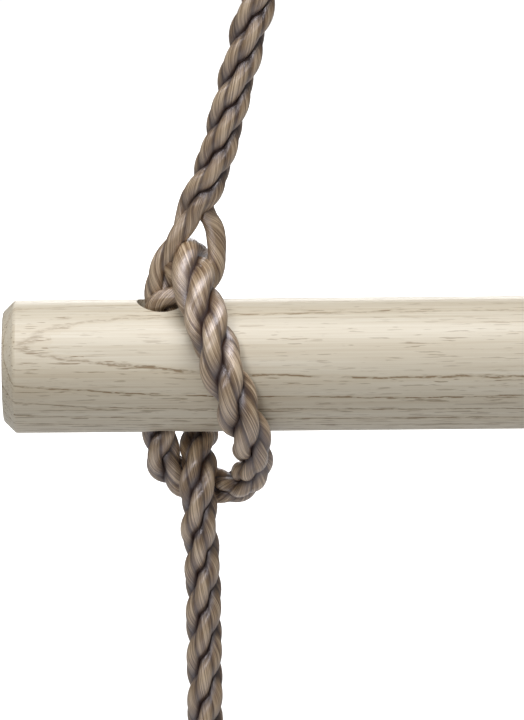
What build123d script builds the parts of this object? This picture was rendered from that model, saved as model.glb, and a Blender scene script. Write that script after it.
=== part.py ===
from build123d import *
import os
from math import asin, cos, degrees, radians, sin, sqrt, tan

# Escape rope ladder: four round wooden rungs tied between two laid ropes, which meet
# in a welded ring and a spring hook. X runs along the rungs, Y to the back, Z up.
# The origin is the place inside the hook's top bow where the anchor carries the ladder.
# Millimetres.

# ---- driving dimensions -------------------------------------------------------------
ROPE_DIAMETER = 10.0
RUNG_DIAMETER = 35.0
RUNG_LENGTH = 300.0
RUNG_COUNT = 4
RUNG_PITCH = 250.0
HOLE_DIAMETER = 13.4
HOLE_TO_RUNG_END = 42.0
RUNG_END_CHAMFER = 3.2
RUNG_EDGE_ROUND = 1.2
HOLE_EDGE_ROUND = 0.7

HOOK_WIRE = 8.0
HOOK_LENGTH = 80.0
HOOK_TOP_BOW = 15.0
HOOK_BOTTOM_BOW = 10.0
GATE_START = 8.0
GATE_END = 39.0
GATE_EDGE_ROUND = 0.4
PIVOT_ABOVE_START = 4.0
LATCH_BELOW_END = 3.5
LATCH_OUTWARDS = 0.6
TONGUE_THICKNESS = 3.0
TONGUE_RADIUS = 3.0
TONGUE_ROOT = 1.0
HIGH_TONGUE_WIDTH = 4.4
HIGH_TONGUE_LENGTH = 7.4
SLOT_WIDTH = 3.5
MOUTH_DEPTH = 7.4
MOUTH_INNER_EDGE = 1.8
LATCH_SLOT_INNER_EDGE = 0.9
LATCH_SLOT_PLAY = 1.2
GATE_PIN = 3.0
GATE_PIN_PLAY = 0.04
LATCH_PIN = 2.4
SPRING_BORE = 4.8
SPRING_WIRE = 0.6
SPRING_DIAMETER = 4.4
SPRING_TURNS = 8
SPRING_HEIGHT = 14.0
SPRING_ROOM = 15.0

RING_WIRE = 8.0
RING_BOW = 26.5
EYE_ANGLE = 22.0

LEG_LEAN = 14.75
LEG_GAP = 0.6
EYE_BOW = 15.5
EYE_LENGTH = 41.0
EYE_SIDE_ABOVE_FERRULE = 3.0
CROWN_STEP = 52.8
ARC_ALLOWANCE = 0.1
THIMBLE_HALF_WIDTH = 6.5
THIMBLE_SEAT_PLAY = 0.02
THIMBLE_SIDE_SHARE = 0.62
FERRULE_WALL = 1.8
FERRULE_LENGTH = 26.0
FERRULE_EDGE_ROUND = 1.2
STRAIGHT_UNDER_FERRULE = 12.0
TAIL_PAST_FERRULE = 9.0

SWING_GAP = 3.5
SWING_PLAY = 0.4
TAIL_DROP = 96.0
WHIPPING_LENGTH = 14.0
WHIPPING_WALL = 1.1
WHIPPING_ABOVE_END = 10.0
RUNNING_GAP = 0.2
EYE_GAP = 0.7
ENTRY_ABOVE_SHOULDER = 13.0

# ---- worked out from them -----------------------------------------------------------
rope_radius = ROPE_DIAMETER / 2
hole_x = RUNG_LENGTH / 2 - HOLE_TO_RUNG_END
strand_pair_diameter = 0.8 * ROPE_DIAMETER
strand_diameter = 0.5 * ROPE_DIAMETER
leg_slope = tan(radians(LEG_LEAN))

hook_wire_radius = HOOK_WIRE / 2
hook_top_centre = hook_wire_radius - HOOK_TOP_BOW
hook_bottom_centre = HOOK_WIRE - HOOK_LENGTH + hook_wire_radius + HOOK_BOTTOM_BOW
hook_centres = hook_top_centre - hook_bottom_centre
hook_taper = (HOOK_TOP_BOW - HOOK_BOTTOM_BOW) / hook_centres
hook_run = sqrt(1 - hook_taper ** 2)
gate_length = GATE_END - GATE_START
latch = gate_length - LATCH_BELOW_END
spring_seat = PIVOT_ABOVE_START + TONGUE_RADIUS
ring_top = hook_bottom_centre - HOOK_BOTTOM_BOW + HOOK_WIRE + RUNNING_GAP
ring_centre = ring_top - RING_BOW
eye_wire_x = RING_BOW * sin(radians(EYE_ANGLE))
eye_wire_z = ring_centre - RING_BOW * cos(radians(EYE_ANGLE))
leg_side = (ROPE_DIAMETER + LEG_GAP) / 2
eye_side_end = EYE_LENGTH - EYE_SIDE_ABOVE_FERRULE
crown_radius = EYE_BOW - ARC_ALLOWANCE

# ---- the rope's route at a rung -----------------------------------------------------
# Places are given from the middle of the left rope hole: x towards the middle of the
# ladder, y to the back, z up. The right side is the mirror image.
LEG_SHOULDER = (13.4, 0, 51.5)
BAY_SHOULDER = (10, 0, 52)
CROTCH = (8.6, 0.2, 43)
PAIR_ROUTE = [CROTCH, (2.2, 0.4, 31), (-0.9, 1.2, 22.5), (0.3, 0.6, 10)]
SINGLE_ROUTE = [(9.5, 1.2, 45), (12.6, 1.6, 41.2), (14.2, 0.8, 36), (14.6, 0, 29.5),
                (13.4, -0.6, 23.8), (9.5, -2, 20.5), (4.5, -3, 19.9), (-0.5, -3.2, 18.8),
                (-2.9, -2.5, 15.5), (-2.6, -1.4, 10)]
THROUGH_POINT = (0, 0, 16)
TURN_ROUTE = [THROUGH_POINT, (-0.5, 0, -17), (-1.5, 1, -23.5), (1, 4, -29.5), (5, 7.5, -33.5),
              (10, 9, -35), (15.5, 7, -35), (20.3, 2, -33), (23, -5, -28.5),
              (24, -13, -21), (22.2, -19, -13.5), (19.3, -22.5, -5), (16.5, -23.5, 3),
              (13.8, -21, 11), (10.8, -15, 19), (8.4, -8, 25), (6, 0, 28.8),
              (6, 8, 27.8), (6.8, 15.5, 22), (8.2, 21, 12.5), (9, 23.5, 2),
              (9.2, 22, -8.5), (9.2, 17, -16.5), (9.2, 10, -21.5), (9, 2.5, -24),
              (8.9, -2.5, -29), (8.9, -3.5, -36), (8.9, -2.5, -43), (9.4, -0.5, -50),
              (10, 0, -58)]
SWING_POINT = TURN_ROUTE[-1]


def rung_height(number):
    """Height of a rung's axis; rung 1 is where the leaning legs reach its holes."""
    leg_drop = (hole_x - LEG_SHOULDER[0] - eye_wire_x) / leg_slope
    first = eye_wire_z - leg_drop - LEG_SHOULDER[2]
    return first - (number - 1) * RUNG_PITCH


def corner_radii(points):
    """The largest arcs that two neighbouring runs leave room for, one for each corner."""
    vectors = [Vector(*p) for p in points]
    runs = [b - a for a, b in zip(vectors, vectors[1:])]
    radii = []
    for before, after in zip(runs, runs[1:]):
        half_turn = radians(before.get_angle(after)) / 2
        radii.append(0.45 * min(before.length, after.length) / tan(half_turn))
    return radii


def tube(points, diameter):
    """A round rope of plain section along straight runs joined by arcs."""
    path = FilletPolyline(*points, radius=corner_radii(points)) if len(points) > 2 else Line(*points)
    section = Plane(origin=path @ 0, z_dir=path % 0) * Circle(diameter / 2)
    return sweep(section, path=path)


def ball(place, diameter):
    return Pos(*place) * Sphere(diameter / 2)


def at_hole(shape, number):
    """Moves a shape from the left hole's own frame to its rung."""
    return Pos(-hole_x, 0, rung_height(number)) * shape


def save(shape, name):
    shape.label = name
    export_step(shape, os.path.join("parts", name + ".step"))


def save_pair(left, name, number=None):
    """Writes the left piece and its mirror image."""
    ending = "" if number is None else "_" + str(number)
    save(left, name + "_left" + ending)
    save(mirror(left, about=Plane.YZ), name + "_right" + ending)


# ---- spring hook, in the YZ plane ---------------------------------------------------
def hook_line(along):
    """A point on the gate's side of the hook, measured up from the bottom bow."""
    across = -HOOK_BOTTOM_BOW * hook_run - hook_taper * along
    height = hook_bottom_centre - HOOK_BOTTOM_BOW * hook_taper + hook_run * along
    return across, height


def hook_back_line(along):
    """The point opposite, on the hook's back."""
    across, height = hook_line(along)
    return -across, height


def hook_path():
    """The bent wire's centre line, from the nose over the top and up to the gate's hinge."""
    lean = degrees(asin(hook_taper))
    side = Plane.YZ
    top = side * Pos(0, hook_top_centre)
    bottom = side * Pos(0, hook_bottom_centre)
    top_arc = top * CenterArc((0, 0), HOOK_TOP_BOW, -lean, 180 + 2 * lean)
    bottom_arc = bottom * CenterArc((0, 0), HOOK_BOTTOM_BOW, 180 + lean, 180 - 2 * lean)
    side_length = hook_centres * hook_run
    nose = side * Line(hook_line(side_length), hook_line(GATE_END))
    hinge = side * Line(hook_line(0), hook_line(GATE_START))
    back = side * Line(hook_back_line(0), hook_back_line(side_length))
    return Wire([nose, top_arc, back, bottom_arc, hinge])


def gate_frame():
    """Plane at the gate's pivot with its Z axis up along the gate and its Y axis inwards."""
    low, high = hook_line(GATE_START), hook_line(GATE_END)
    up = Vector(0, high[0] - low[0], high[1] - low[1])
    return Plane(origin=(0, *low), x_dir=(1, 0, 0), z_dir=up)


def cross_cylinder(diameter, length, along, outwards=0.0):
    """A cylinder across the gate, at a height along it."""
    return Pos(0, -outwards, along) * Rot(0, 90, 0) * Cylinder(diameter / 2, length)


def hook_body():
    wire = hook_path()
    section = Plane(origin=wire @ 0, z_dir=wire % 0) * Circle(hook_wire_radius)
    body = sweep(section, path=wire)
    low_length = PIVOT_ABOVE_START + TONGUE_ROOT
    low_middle = PIVOT_ABOVE_START - low_length / 2
    low_tongue = Pos(0, 0, low_middle) * Box(TONGUE_THICKNESS, 2 * TONGUE_RADIUS, low_length)
    low_tongue += cross_cylinder(2 * TONGUE_RADIUS, TONGUE_THICKNESS, PIVOT_ABOVE_START)
    low_tongue -= cross_cylinder(GATE_PIN + 2 * GATE_PIN_PLAY, HOOK_WIRE, PIVOT_ABOVE_START)
    high_middle = gate_length + TONGUE_ROOT - HIGH_TONGUE_LENGTH / 2
    high_tongue = Box(TONGUE_THICKNESS, HIGH_TONGUE_WIDTH, HIGH_TONGUE_LENGTH)
    high_tongue = Pos(0, -LATCH_OUTWARDS, high_middle) * high_tongue
    high_tongue -= cross_cylinder(LATCH_PIN, HOOK_WIRE, latch, LATCH_OUTWARDS)
    frame = gate_frame().location
    return body + frame * low_tongue + frame * high_tongue


def outer_slot(width, height, middle, inner_edge):
    """A slot cut into the gate from the hook's outside, as deep as its inner edge."""
    depth = 2 * HOOK_WIRE
    return Pos(0, inner_edge - depth / 2, middle) * Box(width, depth, height)


def hook_gate():
    length = gate_length - 2 * RUNNING_GAP
    bar = Pos(0, 0, gate_length / 2) * Cylinder(hook_wire_radius, length)
    bar = fillet(bar.edges().filter_by(GeomType.CIRCLE), GATE_EDGE_ROUND)
    heel_radius = PIVOT_ABOVE_START - RUNNING_GAP
    foot = Pos(0, 0, PIVOT_ABOVE_START / 2) * Box(2 * HOOK_WIRE, 2 * HOOK_WIRE, PIVOT_ABOVE_START)
    bar -= foot - cross_cylinder(2 * heel_radius, 2 * HOOK_WIRE, PIVOT_ABOVE_START)
    bar -= Pos(0, 0, PIVOT_ABOVE_START) * Box(SLOT_WIDTH, 2 * HOOK_WIRE, 2 * heel_radius)
    bar -= cross_cylinder(2 * PIVOT_ABOVE_START, SLOT_WIDTH, PIVOT_ABOVE_START)
    bar -= cross_cylinder(GATE_PIN, HOOK_WIRE, PIVOT_ABOVE_START)
    bar -= outer_slot(SLOT_WIDTH, MOUTH_DEPTH, gate_length - MOUTH_DEPTH / 2, MOUTH_INNER_EDGE)
    bar -= outer_slot(HOOK_WIRE, LATCH_PIN + LATCH_SLOT_PLAY, latch, LATCH_SLOT_INNER_EDGE)
    bar -= Pos(0, 0, spring_seat + SPRING_ROOM / 2) * Cylinder(SPRING_BORE / 2, SPRING_ROOM)
    return gate_frame().location * bar


def gate_spring():
    middle_radius = (SPRING_DIAMETER - SPRING_WIRE) / 2
    path = Helix(SPRING_HEIGHT / SPRING_TURNS, SPRING_HEIGHT, middle_radius)
    section = Plane(origin=path @ 0, z_dir=path % 0) * Circle(SPRING_WIRE / 2)
    return gate_frame().location * Pos(0, 0, spring_seat + SPRING_WIRE) * sweep(section, path=path)


def hook_pin(diameter, length, along, outwards=0.0):
    return gate_frame().location * cross_cylinder(diameter, length, along, outwards)


# ---- ring and rope eyes -------------------------------------------------------------
def master_ring():
    return Pos(0, 0, ring_centre) * Rot(90, 0, 0) * Torus(RING_BOW, RING_WIRE / 2)


def eye_frame():
    """Frame of the left eye: X to the back, Z along the leg downwards, Y across the eye."""
    down = Vector(-sin(radians(LEG_LEAN)), 0, -cos(radians(LEG_LEAN)))
    reach = EYE_BOW - THIMBLE_HALF_WIDTH - RING_WIRE / 2 - EYE_GAP
    centre = Vector(-eye_wire_x, 0, eye_wire_z) + down * reach
    return Plane(origin=centre, x_dir=(0, 1, 0), z_dir=down)


def eye_crown(side):
    """Corners of a polygon that holds the crown's arc, from one side over the top to the other."""
    reach = EYE_BOW / cos(radians(CROWN_STEP / 2))
    angles = [radians(CROWN_STEP * (k - 1.5)) for k in range(4)]
    return [(side * reach * sin(angle), 0, -reach * cos(angle)) for angle in angles]


def leg_line():
    """The leaning leg's straight run, from under the ferrule to the first hitch's shoulder."""
    start_below_eye = EYE_LENGTH + FERRULE_LENGTH + STRAIGHT_UNDER_FERRULE
    start = eye_frame().from_local_coords(Vector(-leg_side, 0, start_below_eye))
    shoulder = Vector(*LEG_SHOULDER) + Vector(-hole_x, 0, rung_height(1))
    entry = shoulder + (start - shoulder).normalized() * ENTRY_ABOVE_SHOULDER
    return start, entry


def leg_rope():
    """Tail, eye round the thimble, ferrule and the leaning leg down to the first hitch."""
    frame = eye_frame()
    start, entry = leg_line()
    tail_end = EYE_LENGTH + FERRULE_LENGTH + TAIL_PAST_FERRULE
    eye = [(leg_side, 0, tail_end), (leg_side, 0, eye_side_end)]
    eye += eye_crown(-1)
    eye.append((-leg_side, 0, eye_side_end))
    points = [frame.from_local_coords(Vector(*p)) for p in eye] + [start, entry]
    radii = corner_radii(points)
    for crown in range(1, 5):
        radii[crown] = crown_radius
    path = FilletPolyline(*points, radius=radii)
    section = Plane(origin=path @ 0, z_dir=path % 0) * Circle(rope_radius)
    return sweep(section, path=path)


def thimble():
    """Steel channel round the inside of the eye, open towards the rope."""
    frame = eye_frame()
    last_crown = Vector(*eye_crown(1)[-1])
    side_line = Vector(leg_side, 0, eye_side_end) - last_crown
    foot = last_crown + side_line * THIMBLE_SIDE_SHARE
    points = [Vector(-foot.X, 0, foot.Z), *[Vector(*p) for p in eye_crown(1)], foot]
    points = [frame.from_local_coords(p) for p in points]
    path = FilletPolyline(*points, radius=[crown_radius] * 4)
    across = frame.from_local_coords(Vector(0, 1, 0)) - frame.origin
    plane = Plane(origin=path @ 0, x_dir=across, z_dir=path % 0)
    inward = 1 if (plane.y_dir.dot(frame.origin - plane.origin)) > 0 else -1
    channel = Circle(THIMBLE_HALF_WIDTH) - Circle(rope_radius + THIMBLE_SEAT_PLAY)
    open_half = Rectangle(4 * THIMBLE_HALF_WIDTH, 2 * THIMBLE_HALF_WIDTH)
    channel -= Pos(0, -inward * THIMBLE_HALF_WIDTH) * open_half
    return sweep(plane * channel, path=path)


def ferrule():
    """Oval aluminium sleeve pressed over both parts of the rope under the eye."""
    outside = rope_radius + FERRULE_WALL
    oval = SlotCenterToCenter(2 * leg_side, 2 * outside)
    sleeve = extrude(oval, FERRULE_LENGTH)
    ends = sleeve.edges().group_by(Axis.Z)
    sleeve = fillet(ends[0] + ends[-1], FERRULE_EDGE_ROUND)
    for side in (-1, 1):
        sleeve -= Pos(side * leg_side, 0, FERRULE_LENGTH / 2) * Cylinder(rope_radius, FERRULE_LENGTH)
    return eye_frame().location * Pos(0, 0, EYE_LENGTH) * sleeve


# ---- rungs, hitches and bays --------------------------------------------------------
def rung():
    bar = Rot(0, 90, 0) * Cylinder(RUNG_DIAMETER / 2, RUNG_LENGTH)
    bar = chamfer(bar.edges().filter_by(GeomType.CIRCLE), RUNG_END_CHAMFER)
    bar = fillet(bar.edges().filter_by(GeomType.CIRCLE), RUNG_EDGE_ROUND)
    for side in (-1, 1):
        bar -= Pos(side * hole_x, 0, 0) * Cylinder(HOLE_DIAMETER / 2, 2 * RUNG_DIAMETER)
    curved = [edge for edge in bar.edges() if edge.geom_type != GeomType.LINE]
    rims = [edge for edge in curved if abs(abs(edge.center().X) - hole_x) < HOLE_DIAMETER / 2]
    return fillet(rims, HOLE_EDGE_ROUND)


def hitch_entry(number):
    """Where the hitch meets the rope above it, and the shoulder under that."""
    if number > 1:
        return Vector(*BAY_SHOULDER) + Vector(0, 0, ENTRY_ABOVE_SHOULDER), BAY_SHOULDER
    return leg_line()[1] - Vector(-hole_x, 0, rung_height(1)), LEG_SHOULDER


def hitch(number):
    """The rope at one hole: lay opened above the rung, through the hole, round the rung,
    through its own opened lay, down the back and out over its own loop."""
    entry, shoulder = hitch_entry(number)
    rope = tube([entry, shoulder, CROTCH], ROPE_DIAMETER)
    rope += ball(CROTCH, ROPE_DIAMETER)
    rope += tube(PAIR_ROUTE, strand_pair_diameter)
    rope += tube(SINGLE_ROUTE, strand_diameter)
    rope += ball(THROUGH_POINT, ROPE_DIAMETER)
    if number == RUNG_COUNT:
        tail_end = (SWING_POINT[0], SWING_POINT[1], -TAIL_DROP)
        return rope + tube(TURN_ROUTE + [tail_end], ROPE_DIAMETER)
    return rope + tube(TURN_ROUTE, ROPE_DIAMETER) + ball(SWING_POINT, ROPE_DIAMETER)


def bay_rope():
    """The hanging rope between two hitches, hollowed at the top where it swings."""
    top = Vector(*SWING_POINT) - Vector(0, 0, SWING_GAP)
    bottom = Vector(*BAY_SHOULDER) + Vector(0, 0, ENTRY_ABOVE_SHOULDER - RUNG_PITCH)
    return tube([top, bottom], ROPE_DIAMETER) - ball(SWING_POINT, ROPE_DIAMETER + 2 * SWING_PLAY)


def whipping():
    outside = rope_radius + WHIPPING_WALL
    sleeve = Cylinder(outside, WHIPPING_LENGTH) - Cylinder(rope_radius, WHIPPING_LENGTH)
    x, y, _ = SWING_POINT
    return Pos(x, y, WHIPPING_ABOVE_END - TAIL_DROP) * sleeve


def main():
    os.makedirs("parts", exist_ok=True)
    save(hook_body(), "hook_body")
    save(hook_gate(), "hook_gate")
    save(hook_pin(GATE_PIN, HOOK_WIRE, PIVOT_ABOVE_START), "gate_rivet")
    save(hook_pin(LATCH_PIN, HOOK_WIRE - LATCH_OUTWARDS, latch, LATCH_OUTWARDS), "latch_pin")
    save(gate_spring(), "gate_spring")
    save(master_ring(), "master_ring")
    save_pair(thimble(), "thimble")
    save_pair(ferrule(), "ferrule")
    save_pair(leg_rope(), "leg_rope")
    for number in range(1, RUNG_COUNT + 1):
        save(Pos(0, 0, rung_height(number)) * rung(), "rung_" + str(number))
        save_pair(at_hole(hitch(number), number), "hitch", number)
        if number < RUNG_COUNT:
            save_pair(at_hole(bay_rope(), number), "bay_rope", number)
    save_pair(at_hole(whipping(), RUNG_COUNT), "whipping")


main()
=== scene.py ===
import math

import bpy
import numpy as np
from mathutils import Matrix, Vector


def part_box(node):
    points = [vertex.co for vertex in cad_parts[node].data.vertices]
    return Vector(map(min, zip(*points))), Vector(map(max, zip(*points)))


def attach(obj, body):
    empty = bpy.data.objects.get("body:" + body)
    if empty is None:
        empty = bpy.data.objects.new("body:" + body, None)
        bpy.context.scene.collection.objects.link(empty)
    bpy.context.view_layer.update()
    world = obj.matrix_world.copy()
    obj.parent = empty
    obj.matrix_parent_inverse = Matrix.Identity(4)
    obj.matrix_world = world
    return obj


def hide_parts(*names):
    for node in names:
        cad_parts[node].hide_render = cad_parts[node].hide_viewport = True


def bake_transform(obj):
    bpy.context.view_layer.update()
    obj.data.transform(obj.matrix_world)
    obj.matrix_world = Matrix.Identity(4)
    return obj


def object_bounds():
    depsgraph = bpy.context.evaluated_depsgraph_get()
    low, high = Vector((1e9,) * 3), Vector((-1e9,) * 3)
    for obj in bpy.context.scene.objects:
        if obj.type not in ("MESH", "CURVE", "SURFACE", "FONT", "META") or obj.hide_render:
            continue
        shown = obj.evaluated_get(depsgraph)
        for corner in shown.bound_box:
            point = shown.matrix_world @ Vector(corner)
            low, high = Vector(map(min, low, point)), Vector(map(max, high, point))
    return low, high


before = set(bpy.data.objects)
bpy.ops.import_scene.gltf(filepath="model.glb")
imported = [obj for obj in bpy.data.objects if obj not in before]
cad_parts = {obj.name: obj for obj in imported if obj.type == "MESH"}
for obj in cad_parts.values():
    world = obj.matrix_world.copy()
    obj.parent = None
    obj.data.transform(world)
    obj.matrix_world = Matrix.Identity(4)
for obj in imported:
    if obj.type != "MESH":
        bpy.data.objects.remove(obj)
cad_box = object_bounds()

MM = 0.001

# ---- sizes shared with the CAD -------------------------------------------------------
RUNG_COUNT = 4
RUNG_LENGTH = 300 * MM
RUNG_PITCH = 250 * MM
HOLE_X = 108 * MM
ROPE_DIAMETER = 10 * MM
LEG_LEAN = math.radians(14.75)
EYE_BOW = 15.5 * MM
EYE_LENGTH = 41 * MM
FERRULE_LENGTH = 26 * MM
TAIL_PAST_FERRULE = 9 * MM
LEG_SIDE = 5.3 * MM
ENTRY_ABOVE_SHOULDER = 13 * MM
TAIL_DROP = 96 * MM
WHIPPING_LENGTH = 14 * MM
WHIPPING_ABOVE_END = 10 * MM
EYE_STEP = math.radians(52.8)
EYE_NECK = 3 * MM
LEG_BELOW_FERRULE = 12 * MM
RING_BOW = 26.5 * MM
FIRST_RUNG = (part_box("rung_1")[0][2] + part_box("rung_1")[1][2]) / 2
EYE_WIRE = (9.927 * MM, -110.870 * MM)
EYE_REACH = 4.3 * MM

# ---- the rope's route at a hole, from the middle of the left hole, millimetres --------
# x towards the middle of the ladder, y to the back, z up.
LEG_SHOULDER = (13.4, 0, 51.5)
BAY_SHOULDER = (10, 0, 52)
CROTCH = (8.6, 0.2, 43)
PAIR_ROUTE = [(2.2, 0.4, 31), (-0.9, 1.2, 22.5), (0.3, 0.6, 10)]
SINGLE_ROUTE = [(9.5, 1.2, 45), (12.6, 1.6, 41.2), (14.2, 0.8, 36), (14.6, 0, 29.5),
                (13.4, -0.6, 23.8), (9.5, -2, 20.5), (4.5, -3, 19.9), (-0.5, -3.2, 18.8),
                (-2.9, -2.5, 15.5), (-2.6, -1.4, 10)]
TURN_ROUTE = [(-0.5, 0, -17), (-1.5, 1, -23.5), (1, 4, -29.5), (5, 7.5, -33.5),
              (10, 9, -35), (15.5, 7, -35), (20.3, 2, -33), (23, -5, -28.5),
              (24, -13, -21), (22.2, -19, -13.5), (19.3, -22.5, -5), (16.5, -23.5, 3),
              (13.8, -21, 11), (10.8, -15, 19), (8.4, -8, 25), (6, 0, 28.8),
              (6, 8, 27.8), (6.8, 15.5, 22), (8.2, 21, 12.5), (9, 23.5, 2),
              (9.2, 22, -8.5), (9.2, 17, -16.5), (9.2, 10, -21.5), (9, 2.5, -24),
              (8.9, -2.5, -29), (8.9, -3.5, -36), (8.9, -2.5, -43), (9.4, -0.5, -50),
              (10, 0, -58)]
SWING_POINT = TURN_ROUTE[-1]

# ---- the rope's lay: three strands of two yarns each -----------------------------------
LAY_PITCH = 36 * MM
STRAND_OFFSET = 2.55 * MM
PAIR_OFFSET = 1.7 * MM
YARN_COUNT = 2
YARN_RADIUS = 2.0 * MM
YARN_OFFSET = 0.65 * MM
YARN_TURNS = 3
OPEN_YARN_TURN = -0.3 / MM
YARN_STEP = 2 * math.pi / YARN_COUNT
CORE_RADIUS = 1.8 * MM
OPEN_CORE_RADIUS = 0.8 * MM
CORE_POINTS = 10
# Where the lay is opened, the strands take this distance from the rope's middle, so that they get no
# painted shade between strands.
OPEN_FROM_CORE = 0.475
RING_STEP = 1.0 * MM
POINTS_PER_YARN = 14
ROUTE_RESOLUTION = 24
# The front turn and the loop above it are slacker than the rest, and their yarns turn on.
LOOSE_LAY = 1.2
LOOSE_YARN_STEPS = 2
LOOSE_FROM = (23, -17, -17)
LOOSE_TO = (6.8, 15.5, 22)
# Over the crown of the loop, and in the strand that parts from the others, the yarns close up.
CROWN_OF_LOOP = (8.4, -8, 25)
CLOSED_YARN_RADIUS = 2.4 * MM
CLOSED_YARN_OFFSET = 0.2 * MM
# Where the strand that parts from the other two lies, seen from the rope's middle.
SINGLE_LEAVES = (("crotch", (0.8, 0.6, 0)), ("mouth", (0.4, -0.9, 0)), ("closed", (-0.85, -0.5, 0)))
# Where these changes start and end and how long they take, in steps of RING_STEP.
OPENS_BEFORE_CROTCH = 5
CLOSES_AFTER_HOLE = 3
OPENING = 9
CLOSING = 7
SLACKENING = 20
CROWN_LENGTH = 8
STRAIGHT_AFTER_HITCH = 10
# A level over 1 keeps the crown closed up for a stretch, and a slope over 1 sharpens the neck.
CROWN_LEVEL = 1.7
PINCHED_BY_WHIPPING = 0.12
PINCH_SLOPE = 3
EYE_SHARE_OF_LEG = 0.2
CLOSED_LAY = 0.02
# How far along the rope a hitch's marks are looked for.
HITCH_TOP = 90 * MM
HITCH_ROUND = 200 * MM


def rung_height(number):
    return FIRST_RUNG - (number - 1) * RUNG_PITCH


def at_hole(point, number, side):
    """A point of a hole's own frame, in the row frame; side is -1 left and 1 right."""
    x, y, z = point
    return Vector((side * (HOLE_X - x * MM), y * MM, rung_height(number) + z * MM))


def eye_point(across, along, side):
    """A point of a rope eye, which lies across the ring, so that its width runs along Y."""
    down = Vector((side * math.sin(LEG_LEAN), 0, -math.cos(LEG_LEAN)))
    centre = Vector((side * EYE_WIRE[0], 0, EYE_WIRE[1])) + down * EYE_REACH
    return centre + Vector((0, across, 0)) + down * along


def eye_route(side):
    """Tail, eye and leg down to the first hitch's entry."""
    reach = EYE_BOW / math.cos(EYE_STEP / 2)
    turns = [EYE_STEP * (1.5 - k) for k in range(4)]
    crown = [(reach * math.sin(a), -reach * math.cos(a)) for a in turns]
    ferrule_end = EYE_LENGTH + FERRULE_LENGTH
    places = [(LEG_SIDE, ferrule_end + TAIL_PAST_FERRULE), (LEG_SIDE, EYE_LENGTH - EYE_NECK), *crown,
              (-LEG_SIDE, EYE_LENGTH - EYE_NECK), (-LEG_SIDE, ferrule_end + LEG_BELOW_FERRULE)]
    points = [eye_point(across, along, side) for across, along in places]
    shoulder = at_hole(LEG_SHOULDER, 1, side)
    points.append(shoulder + (points[-1] - shoulder).normalized() * ENTRY_ABOVE_SHOULDER)
    return points


def side_route(side):
    """Control points of one whole side rope, from the eye's tail to the end under the last rung."""
    points = eye_route(side)
    for number in range(1, RUNG_COUNT + 1):
        if number == 1:
            points.append(at_hole(LEG_SHOULDER, 1, side))
        else:
            points.append(at_hole(BAY_SHOULDER, number, side) + Vector((0, 0, ENTRY_ABOVE_SHOULDER)))
            points.append(at_hole(BAY_SHOULDER, number, side))
        route = [CROTCH, *PAIR_ROUTE, *TURN_ROUTE]
        points += [at_hole(point, number, side) for point in route]
    x, y, _ = SWING_POINT
    points.append(at_hole((x, y, -TAIL_DROP / MM), RUNG_COUNT, side))
    return points


def spline_points(name, controls):
    """Points along a NURBS spline with these control points."""
    data = bpy.data.curves.new(name, "CURVE")
    data.dimensions = "3D"
    data.resolution_u = ROUTE_RESOLUTION
    spline = data.splines.new("NURBS")
    spline.points.add(len(controls) - 1)
    for point, place in zip(spline.points, controls):
        point.co = (*place, 1)
    spline.order_u = 3
    spline.use_endpoint_u = True
    curve = bpy.data.objects.new(name, data)
    mesh = bpy.data.meshes.new_from_object(curve)
    line = np.array([v.co for v in mesh.vertices])
    bpy.data.objects.remove(curve)
    bpy.data.curves.remove(data)
    bpy.data.meshes.remove(mesh)
    return line


def lengths_along(line):
    steps = np.linalg.norm(np.diff(line, axis=0), axis=1)
    return np.concatenate([[0], np.cumsum(steps)])


def evenly(line, step=None, count=None):
    """The same line with points at even steps."""
    along = lengths_along(line)
    if count is None:
        count = int(round(along[-1] / step)) + 1
    wanted = np.linspace(0, along[-1], count)
    return np.stack([np.interp(wanted, along, line[:, k]) for k in range(3)], axis=1)


def carried_frame(line):
    """Two directions across the line at each point, with no turn about the line itself."""
    t = np.gradient(line, axis=0)
    t /= np.linalg.norm(t, axis=1)[:, None]
    side = np.cross(t[0], (0.0, 1.0, 0.0))
    if np.linalg.norm(side) < 0.1:
        side = np.cross(t[0], (1.0, 0.0, 0.0))
    side /= np.linalg.norm(side)
    sides = [side]
    for k in range(1, len(line)):
        side = side - t[k] * np.dot(side, t[k])
        side /= np.linalg.norm(side)
        sides.append(side)
    sides = np.array(sides)
    return sides, np.cross(t, sides)


def smooth_step(x):
    x = np.clip(x, 0, 1)
    return x * x * (3 - 2 * x)


def hump(place, first, last, rise, fall):
    """1 between first and last and 0 outside, over a smooth rise and fall of those lengths."""
    return np.minimum(smooth_step((place - first) / rise), smooth_step((last - place) / fall))


def nearest(line, point, low=0, high=None):
    high = len(line) if high is None else high
    gaps = np.linalg.norm(line[low:high] - np.array(point), axis=1)
    return low + int(np.argmin(gaps))


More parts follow.
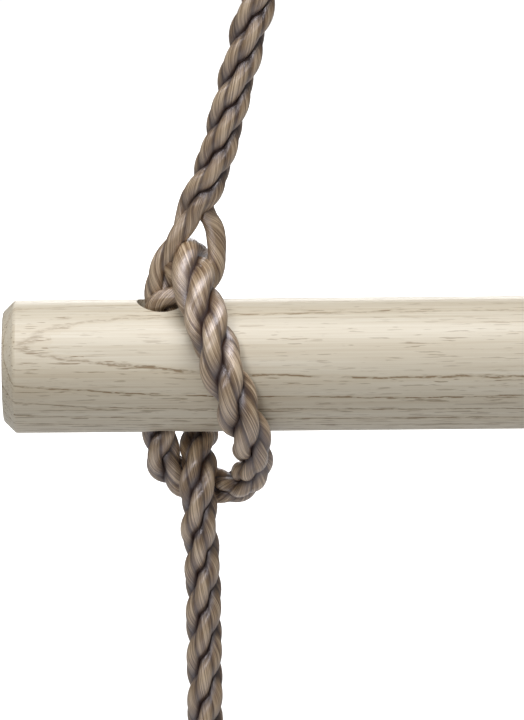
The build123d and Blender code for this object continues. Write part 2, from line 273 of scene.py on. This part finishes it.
class SideRope:
    """One side rope: its centre line and the centre lines of its three strands."""

    def __init__(self, side):
        self.side = side
        self.name = "left" if side < 0 else "right"
        self.line = evenly(spline_points("route_" + self.name, side_route(side)), step=RING_STEP)
        self.frame = carried_frame(self.line)
        self.find_marks()
        self.change_lay()
        self.lay_strands()
        self.tubes = [self.strand_tube(number) for number in range(len(self.strands))]

    def find_marks(self):
        """Indices of the places where pieces part and where the lay opens and closes."""
        self.marks = {}
        low = nearest(self.line, eye_route(self.side)[-1])
        for number in range(1, RUNG_COUNT + 1):
            spot = {}
            if number > 1:
                entry = at_hole(BAY_SHOULDER, number, self.side) + Vector((0, 0, ENTRY_ABOVE_SHOULDER))
                low = nearest(self.line, entry, low)
            spot["entry"] = low
            reach = low + int(HITCH_TOP / RING_STEP)
            for place, point in zip(("crotch", "mouth", "closed"), (CROTCH, PAIR_ROUTE[1], PAIR_ROUTE[-1])):
                spot[place] = nearest(self.line, at_hole(point, number, self.side), low, reach)
            spot["loose"] = nearest(self.line, at_hole(LOOSE_FROM, number, self.side), spot["closed"])
            spot["tight"] = nearest(self.line, at_hole(LOOSE_TO, number, self.side), spot["loose"])
            crown = at_hole(CROWN_OF_LOOP, number, self.side)
            spot["crown"] = nearest(self.line, crown, spot["loose"], spot["tight"])
            after = spot["closed"] + int(HITCH_ROUND / RING_STEP)
            swing = at_hole(SWING_POINT, number, self.side)
            spot["swing"] = nearest(self.line, swing, after, after + int(HITCH_ROUND / RING_STEP))
            self.marks[number] = spot
            low = spot["swing"]

    def turn_of_lay(self):
        """Angle of the lay at each point: it keeps its pitch between holes, and at each hole it
        is set so that the strand that parts from the others leaves on the inner side."""
        along = np.arange(len(self.line)) * RING_STEP
        sides, thirds = self.frame
        anchors, values = [], []
        for number in range(1, RUNG_COUNT + 1):
            spot = self.marks[number]
            for place, way in SINGLE_LEAVES:
                k = spot[place]
                wanted = np.array((-self.side * way[0], way[1], way[2]))
                anchors.append(along[k])
                values.append(math.atan2(np.dot(wanted, thirds[k]), np.dot(wanted, sides[k])))
        rate = 2 * math.pi / LAY_PITCH
        for k in range(1, len(values)):
            expected = values[k - 1] + rate * (anchors[k] - anchors[k - 1])
            turns = round((expected - values[k]) / (2 * math.pi))
            values[k] += turns * 2 * math.pi
        drift = np.array(values) - rate * np.array(anchors)
        return rate * along + np.interp(along, anchors, drift)

    def change_lay(self):
        """How far the lay is opened and slackened at each point, how far each strand's yarns are
        closed up, and the line of the strand that parts from the other two."""
        count = len(self.line)
        place = np.arange(count)
        self.opened = np.zeros(count)
        self.loose = np.ones(count)
        self.past_loops = np.zeros(count)
        self.single = self.line.copy()
        crown = np.zeros(count)
        for number in range(1, RUNG_COUNT + 1):
            spot = self.marks[number]
            first = spot["crotch"] - OPENS_BEFORE_CROTCH
            last = spot["closed"] + CLOSES_AFTER_HOLE
            controls = [at_hole(point, number, self.side) for point in SINGLE_ROUTE]
            route = spline_points("single", controls)
            self.single[first:last + 1] = evenly(route, count=last - first + 1)
            self.opened = np.maximum(self.opened, hump(place, first, last, OPENING, CLOSING))
            half = SLACKENING // 2
            slack = hump(place, spot["loose"] - half, spot["tight"] + half, SLACKENING, SLACKENING)
            self.loose += (LOOSE_LAY - 1) * slack
            self.past_loops += np.clip((place - spot["loose"]) / (spot["tight"] - spot["loose"]), 0, 1)
            from_crown = np.abs(place - spot["crown"]) / CROWN_LENGTH
            crown = np.maximum(crown, smooth_step(CROWN_LEVEL - from_crown))
        to_end = place[::-1] * RING_STEP
        neck = 1 - np.abs(to_end - WHIPPING_ABOVE_END) / WHIPPING_LENGTH
        self.loose -= PINCHED_BY_WHIPPING * smooth_step(PINCH_SLOPE * neck)
        self.closed_up = [np.maximum(crown, self.opened), crown, crown]

    def lay_strands(self):
        """Centre lines of the three strands and the turn of the yarns in each. Where the lay is
        opened, the first strand follows its own line and the other two lie side by side."""
        turn = self.turn_of_lay()
        front = self.front_angle()
        apart = [self.single, self.beside_line(turn + math.pi / 2, PAIR_OFFSET),
                 self.beside_line(turn - math.pi / 2, PAIR_OFFSET)]
        opened = self.opened[:, None]
        self.strands, self.yarn_angles = [], []
        for k, own in enumerate(apart):
            lay = turn + k * 2 * math.pi / 3
            strand = self.beside_line(lay, STRAND_OFFSET) * (1 - opened) + own * opened
            self.strands.append(strand)
            self.yarn_angles.append(self.turn_of_yarns(strand, lay - front))

    def front_angle(self):
        """The angle about the rope that faces the front: true on the straight runs, carried
        evenly through the hitches between them."""
        sides, thirds = self.frame
        leg = self.marks[1]["entry"]
        anchors = [int(EYE_SHARE_OF_LEG * leg) + STRAIGHT_AFTER_HITCH, leg]
        for number in range(2, RUNG_COUNT + 1):
            above = self.marks[number - 1]["swing"]
            anchors += [above + STRAIGHT_AFTER_HITCH, self.marks[number]["entry"]]
        anchors.append(len(self.line) - 2)
        values = [math.atan2(-thirds[k][1], -sides[k][1]) for k in anchors]
        return np.interp(np.arange(len(self.line)), anchors, np.unwrap(values))

    def turn_of_yarns(self, strand, lay):
        """Angle of a strand's first yarn at each point. Where the lay is closed the yarns keep
        step with it, so that their crowns line up on the rope's front."""
        sides, thirds = carried_frame(strand)
        outward = strand - self.line
        outward = np.arctan2(np.sum(outward * thirds, axis=1), np.sum(outward * sides, axis=1))
        angle = outward - YARN_TURNS * lay + LOOSE_YARN_STEPS * YARN_STEP * self.past_loops
        along = lengths_along(strand)
        closed = self.opened < CLOSED_LAY
        edges = np.flatnonzero(np.diff(closed.astype(int))) + 1
        starts = [0, *edges[1::2]]
        ends = [*edges[::2], len(strand)]
        for k, (first, last) in enumerate(zip(starts, ends)):
            angle[first:last] = np.unwrap(angle[first:last])
            if k > 0:
                before = ends[k - 1] - 1
                expected = angle[before] + OPEN_YARN_TURN * (along[first] - along[before])
                angle[first:last] += round((expected - angle[first]) / YARN_STEP) * YARN_STEP
        known = np.flatnonzero(closed)
        return np.interp(along, along[known], angle[known])

    def beside_line(self, angle, radius):
        """Points at these angles about the rope's middle, at this distance from it."""
        sides, thirds = self.frame
        way = np.cos(angle)[:, None] * sides + np.sin(angle)[:, None] * thirds
        return self.line + radius * self.loose[:, None] * way

    def strand_tube(self, number):
        """Rings of points round one whole strand, their normals, and how deep each point lies
        between the yarns and how far it is from the rope's middle, which mask the painted crease
        shade and crown highlight."""
        strand = self.strands[number]
        sides, thirds = carried_frame(strand)
        angles, radii, depths = yarn_profile(self.closed_up[number])
        angle = angles[None, :] + self.yarn_angles[number][:, None]
        direction = np.cos(angle)[:, :, None] * sides[:, None, :]
        direction += np.sin(angle)[:, :, None] * thirds[:, None, :]
        points = strand[:, None, :] + (radii * self.loose[:, None])[:, :, None] * direction
        around_step = np.roll(points, -1, axis=1) - np.roll(points, 1, axis=1)
        normals = np.cross(around_step, np.gradient(points, axis=0))
        normals /= np.linalg.norm(normals, axis=2)[:, :, None]
        from_core = np.linalg.norm(points - self.line[:, None, :], axis=2) / ROPE_DIAMETER
        from_core /= self.loose[:, None]
        from_core += (OPEN_FROM_CORE - from_core) * self.opened[:, None]
        return points, normals, np.stack([depths, from_core], axis=2)

    def core_tube(self):
        """Rings of points round the rope's middle, which close the gap between the strands with a
        tube coloured as painted shade, and their normals."""
        radii = CORE_RADIUS + (OPEN_CORE_RADIUS - CORE_RADIUS) * self.opened
        angle = np.linspace(0, 2 * math.pi, CORE_POINTS, endpoint=False)[None, :, None]
        sides, thirds = self.frame
        normals = np.cos(angle) * sides[:, None, :] + np.sin(angle) * thirds[:, None, :]
        return self.line[:, None, :] + radii[:, None, None] * normals, normals


def yarn_profile(closed_up):
    """Angles round a strand of two pressed yarns, the radius at each angle and each point of the
    strand, and how deep each of them lies between the yarns."""
    half = math.pi / YARN_COUNT
    local = np.tile(np.arange(POINTS_PER_YARN) * 2 * half / POINTS_PER_YARN - half, YARN_COUNT)
    angles = local + np.repeat(np.arange(YARN_COUNT) * 2 * half, POINTS_PER_YARN)
    offset = (YARN_OFFSET + (CLOSED_YARN_OFFSET - YARN_OFFSET) * closed_up)[:, None]
    radius = (YARN_RADIUS + (CLOSED_YARN_RADIUS - YARN_RADIUS) * closed_up)[:, None]
    reach = offset * np.cos(local) + np.sqrt(radius ** 2 - (offset * np.sin(local)) ** 2)
    return angles, reach, np.abs(local) / half * (1 - closed_up)[:, None]


def tube_faces(base, rows, around):
    """The faces between neighbouring rings of a tube whose first vertex is number base."""
    faces = []
    for row in range(rows - 1):
        for k in range(around):
            a = base + row * around + k
            b = base + row * around + (k + 1) % around
            faces.append((a, b, b + around, a + around))
    return faces


def tube_uvs(around, along):
    """UVs of those faces: u goes once round the tube, and v is the length along it."""
    uvs = []
    for v0, v1 in zip(along, along[1:]):
        for k in range(around):
            u0, u1 = k / around, (k + 1) / around
            uvs += [(u0, v0), (u1, v0), (u1, v1), (u0, v1)]
    return uvs


def rope_mesh(rope, first, last):
    """Vertices, normals, the mask values for painted crease shade and crown highlight, faces and
    UVs of the strands and the core between two marks."""
    around = YARN_COUNT * POINTS_PER_YARN
    picked = slice(first, last + 1)
    rows = last + 1 - first
    points, normals, painted_light_masks, faces, uvs = [], [], [], [], []
    for number, tube in enumerate(rope.tubes):
        for store, rings in zip((points, normals, painted_light_masks), tube):
            store.append(rings[picked].reshape(rows * around, -1))
        base = number * rows * around
        along = lengths_along(rope.strands[number])[picked]
        faces += tube_faces(base, rows, around)
        uvs += tube_uvs(around, along)
        faces.append(tuple(range(base + around - 1, base - 1, -1)))
        faces.append(tuple(range(base + (rows - 1) * around, base + rows * around)))
        uvs += [(0.5, along[0])] * around + [(0.5, along[-1])] * around
    core, outward = rope.core_tube()
    points.append(core[picked].reshape(-1, 3))
    normals.append(outward[picked].reshape(-1, 3))
    # Painted shade: the core gets the deepest crease values, so that it is coloured as a near-black crease
    # throughout.
    painted_light_masks.append(np.tile((1.0, 0.0), (rows * CORE_POINTS, 1)))
    core_faces = tube_faces(len(rope.tubes) * rows * around, rows, CORE_POINTS)
    uvs += [(0, 0), (1, 0), (1, 1), (0, 1)] * len(core_faces)
    return (np.concatenate(points), np.concatenate(normals), np.concatenate(painted_light_masks),
            faces + core_faces, uvs)


def linked_piece(name, points, faces, uvs, material):
    """A new object of one smooth mesh with its UVs and material, linked to the scene."""
    mesh = bpy.data.meshes.new(name)
    mesh.from_pydata(points, [], faces)
    layer = mesh.uv_layers.new(name="fibres")
    layer.data.foreach_set("uv", np.array(uvs, np.float32).ravel())
    mesh.shade_smooth()
    mesh.materials.append(material)
    piece = bpy.data.objects.new(name, mesh)
    bpy.context.scene.collection.objects.link(piece)
    return piece


def rope_piece(name, rope, first, last, material):
    points, normals, painted_light_masks, faces, uvs = rope_mesh(rope, first, last)
    piece = linked_piece(name, points.tolist(), faces, uvs, material)
    for column, label in enumerate(("groove", "from_core")):
        attribute = piece.data.attributes.new(label, "FLOAT", "POINT")
        attribute.data.foreach_set("value", painted_light_masks[:, column].astype(np.float32))
    piece.data.normals_split_custom_set_from_vertices(normals.tolist())
    return piece


# ---- materials -----------------------------------------------------------------------
FIBRE_TURN = -8.0
PAINTED_CREASE_SHADE_COLOR = (0.040, 0.016, 0.006, 1)
PORE_COLOR = (0.22, 0.135, 0.055, 1)
LATE_WOOD_COLOR = (0.60, 0.49, 0.33, 1)
OTHER_RUNG_TURN = 2.1
OTHER_RUNG_SHIFT = 0.07
PITH_BEHIND = 51 * MM
PITH_BELOW = 35 * MM
PITH_SLANT = 2.6 * MM
PITH_BEND_LENGTH = 40 * MM
RING_SHIFT = 1.0 * MM
RING_WIDTH = 2.9 * MM
WELD_PLACE = (RING_BOW, 0, (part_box("master_ring")[0][2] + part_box("master_ring")[1][2]) / 2)
WELD_HALF_LENGTH = 4.5 * MM
WELD_EDGE = 7.0 * MM
WELD_RIPPLE = 1.1 * MM
DIE_BAND = 6.5 * MM


class Nodes:
    """A short way to write a material's node tree."""

    def __init__(self, name):
        self.material = bpy.data.materials.new(name)
        self.material.use_nodes = True
        self.tree = self.material.node_tree
        self.shader = self.tree.nodes["Principled BSDF"]

    def add(self, kind, settings=None, **inputs):
        node = self.tree.nodes.new(kind)
        for key, value in (settings or {}).items():
            setattr(node, key, value)
        for key, value in inputs.items():
            self.put(node.inputs[key.replace("_", " ")], value)
        return node

    def put(self, socket, value):
        if hasattr(value, "is_output"):
            self.tree.links.new(value, socket)
        else:
            socket.default_value = value

    def math(self, operation, *values):
        node = self.tree.nodes.new("ShaderNodeMath")
        node.operation = operation
        for socket, value in zip(node.inputs, values):
            self.put(socket, value)
        return node.outputs[0]

    def vector(self, operation, *values):
        node = self.tree.nodes.new("ShaderNodeVectorMath")
        node.operation = operation
        for socket, value in zip(node.inputs, values):
            self.put(socket, value)
        return node.outputs[0]

    def mix(self, share, low, high):
        node = self.tree.nodes.new("ShaderNodeMix")
        node.data_type = "RGBA"
        self.put(node.inputs[0], share)
        self.put(node.inputs[6], low)
        self.put(node.inputs[7], high)
        return node.outputs[2]

    def ramp(self, value, *stops):
        node = self.tree.nodes.new("ShaderNodeValToRGB")
        elements = node.color_ramp.elements
        while len(elements) < len(stops):
            elements.new(0.5)
        for element, (position, color) in zip(elements, stops):
            element.position = position
            element.color = (*color, 1)
        self.put(node.inputs[0], value)
        return node.outputs[0]

    def scale(self, value, low, high, to_low=0.0, to_high=1.0):
        node = self.tree.nodes.new("ShaderNodeMapRange")
        for socket, number in zip(node.inputs, (value, low, high, to_low, to_high)):
            self.put(socket, number)
        return node.outputs[0]

    def noise(self, place, detail, scale=1.0, roughness=0.5):
        return self.add("ShaderNodeTexNoise", Vector=place, Scale=scale, Detail=detail,
                        Roughness=roughness).outputs[0]

    def place(self):
        return self.add("ShaderNodeTexCoord").outputs["Object"]

    def parts(self, vector):
        return self.add("ShaderNodeSeparateXYZ", Vector=vector).outputs

    def bump(self, strength, distance, height):
        node = self.add("ShaderNodeBump", Strength=strength, Distance=distance, Height=height)
        self.put(self.shader.inputs["Normal"], node.outputs[0])

    def finish(self, **settings):
        """Put values or nodes on the shader's own sockets, and give the material."""
        for key, value in settings.items():
            self.put(self.shader.inputs[key.replace("_", " ")], value)
        return self.material


def rope_material():
    """Glossy brown and straw fibres that run along the yarns; painted shade darkens the creases between
    them and a painted highlight lightens the crowns.
    """
    n = Nodes("rope_fibre")
    round_yarn, along, _ = n.parts(n.add("ShaderNodeUVMap", {"uv_map": "fibres"}).outputs[0])
    sheared = n.math("ADD", round_yarn, n.math("MULTIPLY", along, FIBRE_TURN))
    turn = n.math("MULTIPLY", sheared, 2 * math.pi)
    round_x = n.math("COSINE", turn)
    round_y = n.math("SINE", turn)

    def streaks(fine, long, detail):
        place = n.add("ShaderNodeCombineXYZ", X=n.math("MULTIPLY", round_x, fine),
                      Y=n.math("MULTIPLY", round_y, fine), Z=n.math("MULTIPLY", along, long))
        return n.noise(place.outputs[0], detail, roughness=0.6)

    fine = streaks(10.0, 45.0, 4.0)
    broad = streaks(3.5, 110.0, 3.0)
    groove = n.add("ShaderNodeAttribute", {"attribute_name": "groove"}).outputs[2]
    core = n.add("ShaderNodeAttribute", {"attribute_name": "from_core"}).outputs[2]
    tone = n.math("ADD", n.math("MULTIPLY", fine, 0.65), n.math("MULTIPLY", broad, 0.35))
    # Painted highlight: the colour is lightened on the leaf crowns, furthest from the rope's middle, and a
    # touch darkened below them.
    tone = n.math("ADD", tone, n.scale(core, 0.45, 0.52, -0.02, 0.06))
    color = n.ramp(tone, (0.38, (0.105, 0.053, 0.023)), (0.50, (0.345, 0.228, 0.124)),
                   (0.62, (0.80, 0.63, 0.44)))
    # Painted shade: the colour darkens towards a near-black brown in the creases between the yarns and,
    # more, between the strands.
    painted_shade_between_yarns = n.scale(groove, 0.75, 1.0, 1.0, 0.2)
    painted_shade_between_strands = n.scale(core, 0.33, 0.44, 0.03, 1.0)
    dark = n.mix(n.math("MULTIPLY", painted_shade_between_yarns, painted_shade_between_strands), PAINTED_CREASE_SHADE_COLOR, color)
    n.bump(0.8, 0.3 * MM, fine)
    tangent = n.add("ShaderNodeTangent", {"direction_type": "UV_MAP", "uv_map": "fibres"})
    return n.finish(Base_Color=dark, Roughness=0.33, IOR=1.85, Specular_IOR_Level=1.0,
                    Specular_Tint=(0.97, 0.93, 1.0, 1), Anisotropic=0.9,
                    Anisotropic_Rotation=0.07, Tangent=tangent.outputs[0])


def growth_rings(n, place, noise):
    """How many growth rings a point lies from a pith that is behind the bar, below it and a
    little aslant."""

    def waver(width, *settings):
        return n.math("MULTIPLY", n.math("SUBTRACT", noise(*settings), 0.5), width)

    x, y, z = n.parts(place)
    past_end = n.math("DIVIDE", n.math("ADD", x, RUNG_LENGTH / 2), PITH_BEND_LENGTH)
    slant = n.math("MULTIPLY", n.math("EXPONENT", n.math("MULTIPLY", past_end, -1.0)), PITH_SLANT)
    lean = n.math("SUBTRACT", RING_SHIFT, slant)
    back = n.math("SUBTRACT", PITH_BEHIND, y)
    side = n.math("ADD", z, PITH_BELOW)
    squares = n.math("ADD", n.math("MULTIPLY", back, back), n.math("MULTIPLY", side, side))
    distance = n.math("ADD", n.math("SQRT", squares), lean)
    wander = waver(1.6 * MM, (12.0, 50.0, 50.0), 2.0)
    shiver = waver(0.5 * MM, (160.0, 300.0, 300.0), 2.0, 0.6, 3.0)
    distance = n.math("ADD", distance, n.math("ADD", wander, shiver))
    return n.math("DIVIDE", distance, RING_WIDTH)


def wood_material(number):
    """Pale open-pored hardwood cut lengthwise, under a thin satin varnish."""
    n = Nodes("rung_wood_%d" % number)
    place = n.vector("SUBTRACT", n.place(), (0, 0, rung_height(number)))
    if number > 1:
        turned = n.add("ShaderNodeVectorRotate", {"rotation_type": "X_AXIS"}, Vector=place,
                       Angle=OTHER_RUNG_TURN * number)
        place = n.vector("ADD", turned.outputs[0], (OTHER_RUNG_SHIFT * number, 0, 0))

    def noise(stretch, detail, roughness=0.55, shift=0.0):
        return n.noise(n.vector("MULTIPLY_ADD", place, stretch, (shift, 0, 0)), detail,
                       roughness=roughness)

    x, _, z = n.parts(place)
    turn = growth_rings(n, place, noise)
    ring = n.math("FRACT", turn)
    late = n.scale(ring, 0.25, 1.0)
    grain = noise((22.0, 1700.0, 1700.0), 3.0, 0.6)
    broad = noise((5.0, 140.0, 140.0), 3.0, 0.6, 5.0)
    base = n.ramp(n.math("ADD", n.math("MULTIPLY", grain, 0.6), n.math("MULTIPLY", broad, 0.4)),
                  (0.34, (0.60, 0.515, 0.385)), (0.50, (0.68, 0.61, 0.485)), (0.66, (0.74, 0.68, 0.565)))
    toned = n.mix(n.math("MULTIPLY", late, 0.20), base, LATE_WOOD_COLOR)

    # Pores stand in a thin line along each ring: some rings have more, and every line is broken
    # up, fainter near the bar's end and high on its front.
    line = n.ramp(ring, (0.0, (0, 0, 0)), (0.86, (0, 0, 0)), (0.90, (1, 1, 1)), (0.93, (1, 1, 1)),
                  (0.97, (0, 0, 0)))
    strong = n.add("ShaderNodeTexWhiteNoise", {"noise_dimensions": "1D"}, W=n.math("FLOOR", turn))
    stretches = n.scale(noise((60.0, 300.0, 300.0), 3.0, 0.6, 2.0), 0.34, 0.46)
    pits = n.scale(noise((420.0, 1800.0, 1800.0), 2.0, 0.6, 4.0), 0.42, 0.53, 0.3)
    along_ring = line
    by_end = n.scale(x, -145 * MM, -110 * MM, 0.6)
    high_up = n.scale(z, 9 * MM, 15 * MM, 1.0, 0.5)
    for share in (by_end, high_up, stretches, n.scale(strong.outputs[0], 0.0, 0.7, 0.7), pits):
        along_ring = n.math("MULTIPLY", along_ring, share)

    # Loose pores are scattered between the rings, more of them low on the bar.
    dash = noise((130.0, 1900.0, 1900.0), 2.0, 0.55, 9.0)
    sparse = n.scale(z, -13 * MM, 5 * MM, 0.0, 0.05)
    loose = n.scale(n.math("SUBTRACT", dash, sparse), 0.56, 0.61, 0.0, 0.85)
    loose = n.math("MULTIPLY", loose, n.scale(late, 0.0, 1.0, 0.3))

    pores = n.math("MAXIMUM", along_ring, loose)
    n.bump(0.3, 0.08 * MM, n.math("SUBTRACT", n.math("MULTIPLY", grain, 0.2), pores))
    return n.finish(Base_Color=n.mix(pores, toned, PORE_COLOR), Roughness=0.45, Coat_Weight=0.25,
                    Coat_Roughness=0.3)


def metal_material(name, color, roughness, mottle=0.12):
    """Metal with a faintly uneven coat and fine handling marks."""
    n = Nodes(name)
    place = n.place()
    cloud = n.noise(place, 4.0, 180.0)
    fine = n.noise(place, 3.0, 900.0)
    shade = n.scale(cloud, 0.3, 0.7, 1.0 - mottle, 1.0 + mottle)
    scaled = n.add("ShaderNodeVectorMath", {"operation": "SCALE"}, Vector=color, Scale=shade)
    rough = n.math("ADD", n.scale(cloud, 0.3, 0.7, roughness - 0.07, roughness + 0.07),
                   n.scale(fine, 0.3, 0.7, -0.04, 0.04))
    n.bump(0.25, 0.05 * MM, fine)
    n.finish(Base_Color=scaled.outputs[0], Metallic=1.0, Roughness=rough)
    return n


def ring_material():
    """The zinc-plated ring with the bead where its ends are welded, at its right side."""
    n = metal_material("ring_steel", (0.60, 0.60, 0.615), 0.30)
    place = n.place()
    gap = n.add("ShaderNodeVectorMath", {"operation": "DISTANCE"}, Vector=place)
    gap.inputs[1].default_value = WELD_PLACE
    near = n.scale(gap.outputs["Value"], WELD_HALF_LENGTH, WELD_EDGE, 1.0, 0.0)
    ripple = n.math("SINE", n.math("MULTIPLY", n.parts(place)[2], 2 * math.pi / WELD_RIPPLE))
    n.bump(0.8, 0.4 * MM, n.math("MULTIPLY", near, n.math("ADD", 1.0, n.math("MULTIPLY", ripple, 0.3))))
    return n.material


def ferrule_material():
    """Pressed aluminium: the dies leave shallow bands across the sleeve."""
    n = metal_material("aluminium", (0.80, 0.80, 0.81), 0.36, 0.06)
    band = n.math("SINE", n.math("MULTIPLY", n.parts(n.place())[2], 2 * math.pi / DIE_BAND))
    n.bump(0.5, 0.25 * MM, n.scale(band, 0.80, 1.0))
    return n.material


def thimble_material():
    """Hot-dip galvanised steel with a soft spangle."""
    n = metal_material("thimble_steel", (0.58, 0.59, 0.60), 0.42)
    cell = n.add("ShaderNodeTexVoronoi", Vector=n.place(), Scale=420.0)
    spangle = n.scale(n.parts(cell.outputs["Color"])[0], 0.0, 1.0, 0.48, 0.68)
    tone = n.add("ShaderNodeCombineXYZ", X=spangle, Y=spangle, Z=n.math("MULTIPLY", spangle, 1.02))
    return n.finish(Base_Color=tone.outputs[0])


def twine_material():
    """Waxed twine with its fibres along it."""
    n = Nodes("whipping_twine")
    uv = n.add("ShaderNodeUVMap", {"uv_map": "fibres"}).outputs[0]
    fibre = n.noise(n.vector("MULTIPLY", uv, (900.0, 14.0, 1.0)), 3.0)
    color = n.ramp(fibre, (0.3, (0.30, 0.22, 0.12)), (0.7, (0.60, 0.49, 0.32)))
    n.bump(0.4, 0.1 * MM, fibre)
    return n.finish(Base_Color=color, Roughness=0.6, Sheen_Weight=0.2)


def paint_node(name, material):
    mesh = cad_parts[name].data
    mesh.materials.clear()
    mesh.materials.append(material)


# ---- the pieces ----------------------------------------------------------------------
BODY_OF_RUNG = {1: "first_rung", 2: "second_rung", 3: "third_rung", 4: "fourth_rung"}
TWINE_DIAMETER = 1.15 * MM
WHIPPING_INSIDE = 4.7 * MM
AROUND_WHIPPING = 48
ROWS_PER_TURN = 8


def whipping_piece(rope, material):
    """Twine wound side by side round the rope's end, with its ends tucked under."""
    centre = rope.line[-1] + np.array((0, 0, WHIPPING_ABOVE_END))
    half = WHIPPING_LENGTH / 2
    rows = int(ROWS_PER_TURN * WHIPPING_LENGTH / TWINE_DIAMETER)
    heights = np.linspace(half, -half, rows)
    angles = np.linspace(0, 2 * math.pi, AROUND_WHIPPING, endpoint=False)
    points, uvs, faces = [], [], []
    for height in heights:
        edge = min(half - abs(height), TWINE_DIAMETER / 2) / (TWINE_DIAMETER / 2)
        for angle in angles:
            place = height / TWINE_DIAMETER + angle / (2 * math.pi)
            across = 2 * (place % 1) - 1
            crown = 0.35 + 0.65 * math.sqrt(1 - 0.9 * across ** 2)
            radius = WHIPPING_INSIDE + TWINE_DIAMETER * crown * edge
            points.append((centre[0] + radius * math.cos(angle), centre[1] + radius * math.sin(angle),
                           centre[2] + height))
    for row in range(rows - 1):
        for k in range(AROUND_WHIPPING):
            a = row * AROUND_WHIPPING + k
            b = row * AROUND_WHIPPING + (k + 1) % AROUND_WHIPPING
            faces.append((a, a + AROUND_WHIPPING, b + AROUND_WHIPPING, b))
            low, high = heights[row + 1], heights[row]
            u0, u1 = k / AROUND_WHIPPING, (k + 1) / AROUND_WHIPPING
            uvs += [(high, u0), (low, u0), (low, u1), (high, u1)]
    piece = linked_piece("whipping_twine_" + rope.name, points, faces, uvs, material)
    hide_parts("whipping_" + rope.name)
    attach(piece, BODY_OF_RUNG[RUNG_COUNT])


def build_bay(rope, number, material):
    """The rope between two rungs, which bends just under the upper one."""
    first, last = rope.marks[number - 1]["swing"], rope.marks[number]["entry"]
    label = "%s_%d" % (rope.name, number - 1)
    bay = rope_piece("rope_bay_" + label, rope, first, last, material)
    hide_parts("bay_rope_" + label)
    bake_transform(bay)


def build_ropes(material, twine):
    for side in (-1, 1):
        rope = SideRope(side)
        leg = rope_piece("rope_leg_" + rope.name, rope, 0, rope.marks[1]["entry"], material)
        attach(leg, "first_rung")
        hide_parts("leg_rope_" + rope.name)
        for number in range(1, RUNG_COUNT + 1):
            if number > 1:
                build_bay(rope, number, material)
            first = rope.marks[number]["entry"]
            last = rope.marks[number]["swing"] if number < RUNG_COUNT else len(rope.line) - 1
            label = "%s_%d" % (rope.name, number)
            hitch = rope_piece("rope_hitch_" + label, rope, first, last, material)
            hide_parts("hitch_" + label)
            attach(hitch, BODY_OF_RUNG[number])
        whipping_piece(rope, twine)


build_ropes(rope_material(), twine_material())

steel = metal_material("zinc_steel", (0.63, 0.63, 0.645), 0.30).material
bright = metal_material("bright_steel", (0.52, 0.52, 0.53), 0.26).material
thimble = thimble_material()
alloy = ferrule_material()
MATERIAL_OF_NODE = {
    "hook_body": steel, "hook_gate": steel, "gate_rivet": bright, "latch_pin": bright,
    "gate_spring": bright, "master_ring": ring_material(), "thimble_left": thimble,
    "thimble_right": thimble, "ferrule_left": alloy, "ferrule_right": alloy,
}
for name, material in MATERIAL_OF_NODE.items():
    paint_node(name, material)
for number in range(1, RUNG_COUNT + 1):
    paint_node("rung_%d" % number, wood_material(number))


# ---- floor, light and camera ---------------------------------------------------------
FLOOR_HALF_WIDTH = 30.0
FLOOR_DROP = 60 * MM
WORLD_STRENGTH = 0.15
CAMERA_RISE = math.radians(14.5)
CAMERA_ROLL = math.radians(-0.5)
CAMERA_DISTANCE = 1.5
CAMERA_SIDEWAYS = 26 * MM
CAMERA_UP = 1.2 * MM
FRAME_HEIGHT = 189.4 * MM
SENSOR_HEIGHT = 36.0


def make_floor():
    half = FLOOR_HALF_WIDTH
    mesh = bpy.data.meshes.new("floor")
    height = cad_box[0][2] - FLOOR_DROP
    corners = [(x, y, height) for x, y in ((-half, -half), (half, -half), (half, half), (-half, half))]
    mesh.from_pydata(corners, [], [(0, 1, 2, 3)])
    floor = bpy.data.objects.new("floor", mesh)
    bpy.context.scene.collection.objects.link(floor)
    mesh.materials.append(Nodes("floor").finish(Base_Color=(0.92, 0.92, 0.92, 1), Roughness=0.9))


def make_light(name, place, target, size, power):
    data = bpy.data.lights.new(name, "AREA")
    data.size = size
    data.energy = power
    light = bpy.data.objects.new(name, data)
    light.location = place
    light.rotation_euler = (Vector(target) - Vector(place)).to_track_quat("-Z", "Y").to_euler()
    bpy.context.scene.collection.objects.link(light)


def make_lights():
    hitch = (-HOLE_X, 0, FIRST_RUNG)
    make_light("key", (-0.3, -0.85, FIRST_RUNG + 1.6), hitch, 0.5, 9.5)
    make_light("front", (-0.45, -1.4, FIRST_RUNG + 0.75), hitch, 0.3, 6.3)
    make_light("top", (0.1, -0.25, FIRST_RUNG + 1.7), hitch, 0.8, 16)
    make_light("background", (0, 3.8, FIRST_RUNG + 0.9), (0, 3.7, FIRST_RUNG - 1), 2.0, 90)
    world = bpy.data.worlds.new("studio")
    world.use_nodes = True
    background = world.node_tree.nodes["Background"]
    background.inputs["Color"].default_value = (1, 1, 1, 1)
    background.inputs["Strength"].default_value = WORLD_STRENGTH
    bpy.context.scene.world = world
    bpy.context.scene.view_settings.view_transform = "Standard"


def make_camera():
    back = Vector((0, -math.cos(CAMERA_RISE), math.sin(CAMERA_RISE)))
    up = Vector((0, math.sin(CAMERA_RISE), math.cos(CAMERA_RISE)))
    target = Vector((-HOLE_X + CAMERA_SIDEWAYS, 0, FIRST_RUNG)) + CAMERA_UP * up
    data = bpy.data.cameras.new("camera")
    data.sensor_fit = "VERTICAL"
    data.sensor_height = SENSOR_HEIGHT
    data.lens = SENSOR_HEIGHT * CAMERA_DISTANCE / FRAME_HEIGHT
    data.clip_end = 100.0
    camera = bpy.data.objects.new("camera", data)
    turn = (-back).to_track_quat("-Z", "Y").to_matrix().to_4x4()
    camera.matrix_world = turn @ Matrix.Rotation(CAMERA_ROLL, 4, "Z")
    camera.location = target + back * CAMERA_DISTANCE
    bpy.context.scene.collection.objects.link(camera)
    bpy.context.scene.camera = camera


make_floor()
make_lights()
make_camera()
